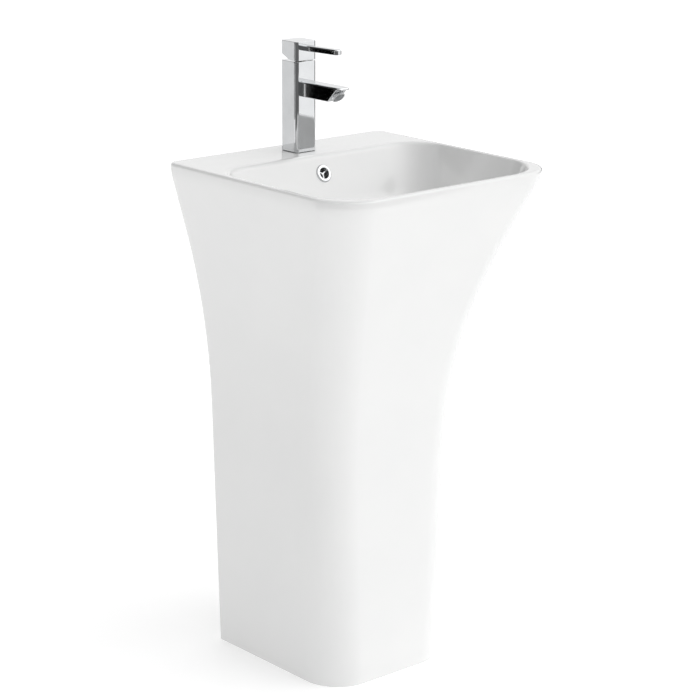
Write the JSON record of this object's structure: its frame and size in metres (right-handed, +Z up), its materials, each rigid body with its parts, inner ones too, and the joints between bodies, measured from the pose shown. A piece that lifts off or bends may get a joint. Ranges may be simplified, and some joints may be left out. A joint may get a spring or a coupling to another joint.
{
  "type": "pedestal sink",
  "caption": "Freestanding one-piece ceramic pedestal basin, flared and rounded-square, with a square mixer tap, sprung plug waste and bottle trap.",
  "frame": {"origin": "on the floor, under the centre of the object's box", "axes": "+Z up, +Y to the wall behind, -Y to the user, +X to the user's right"},
  "size_m": [0.455, 0.435, 1.032],
  "materials": {
    "glazed_ceramic": "white gloss glaze",
    "chrome": "polished chrome plate",
    "rubber": "matt black rubber",
    "brass": "machined brass",
    "white_plastic": "white moulded polypropylene",
    "grey_plastic": "grey moulded acetal",
    "disc_ceramic": "lapped alumina",
    "steel": "stainless steel"
  },
  "bodies": {
    "basin": {"aerator_housing": "chrome", "aerator_insert": "grey_plastic", "aerator_seal": "rubber", "cartridge_base": "grey_plastic", "cartridge_housing": "grey_plastic", "cartridge_nut": "brass", "cartridge_seals": "rubber", "ceramic_basin": "glazed_ceramic", "fixed_disc": "disc_ceramic", "horseshoe_seal": "rubber", "horseshoe_washer": "steel", "mounting_nut": "brass", "mounting_stud": "steel", "overflow_cover": "chrome", "plug_cage": "grey_plastic", "plug_spring": "steel", "tap_base_gasket": "rubber", "tap_body": "chrome", "tap_spout": "chrome", "trap_body": "white_plastic", "trap_cup": "white_plastic", "trap_cup_seal": "rubber", "trap_dip_tube": "white_plastic", "trap_inlet_nut": "white_plastic", "trap_inlet_seal": "rubber", "trap_neck_nut": "white_plastic", "trap_neck_seal": "rubber", "trap_outlet_nut": "white_plastic", "trap_outlet_seal": "rubber", "waste_body": "chrome", "waste_flange_seal": "rubber", "waste_lower_seal": "rubber", "waste_nut": "brass", "waste_pipe": "white_plastic"},
    "plug": {"plug_cap": "chrome", "plug_seal": "rubber", "plug_stem": "grey_plastic"},
    "turret": {"cartridge_turret": "grey_plastic", "turret_pin": "steel"},
    "handle": {"cartridge_stem": "steel", "handle_block": "chrome", "lever_bar": "chrome", "handle_grub_screw": "steel", "screw_cover": "grey_plastic"},
    "disc": {"moving_disc": "disc_ceramic", "disc_carrier": "grey_plastic"}
  },
  "joints": [
    {"name": "handle_turn", "type": "hinge", "parent": "basin", "child": "turret", "pos_m": [0, 0.16, 0.988], "axis": [0, 0, 1], "range_deg": [-45, 45]},
    {"name": "lever_lift", "type": "hinge", "parent": "turret", "child": "handle", "pos_m": [0, 0.16, 0.988], "axis": [-1, 0, 0], "range_deg": [0, 22]},
    {"name": "disc_slide", "type": "slide", "parent": "turret", "child": "disc", "axis": [0, -1, 0], "range_m": [0, 0.00525]},
    {"name": "plug_press", "type": "slide", "parent": "basin", "child": "plug", "axis": [0, 0, 1], "range_m": [-0.009, 0], "stiffness_N_per_m": 800, "springref_m": 0.01, "deforming": ["plug_spring"]}
  ],
  "couplings": [
    {"joint": "disc_slide", "follows": "lever_lift", "m_per_rad": 0.013659}
  ]
}
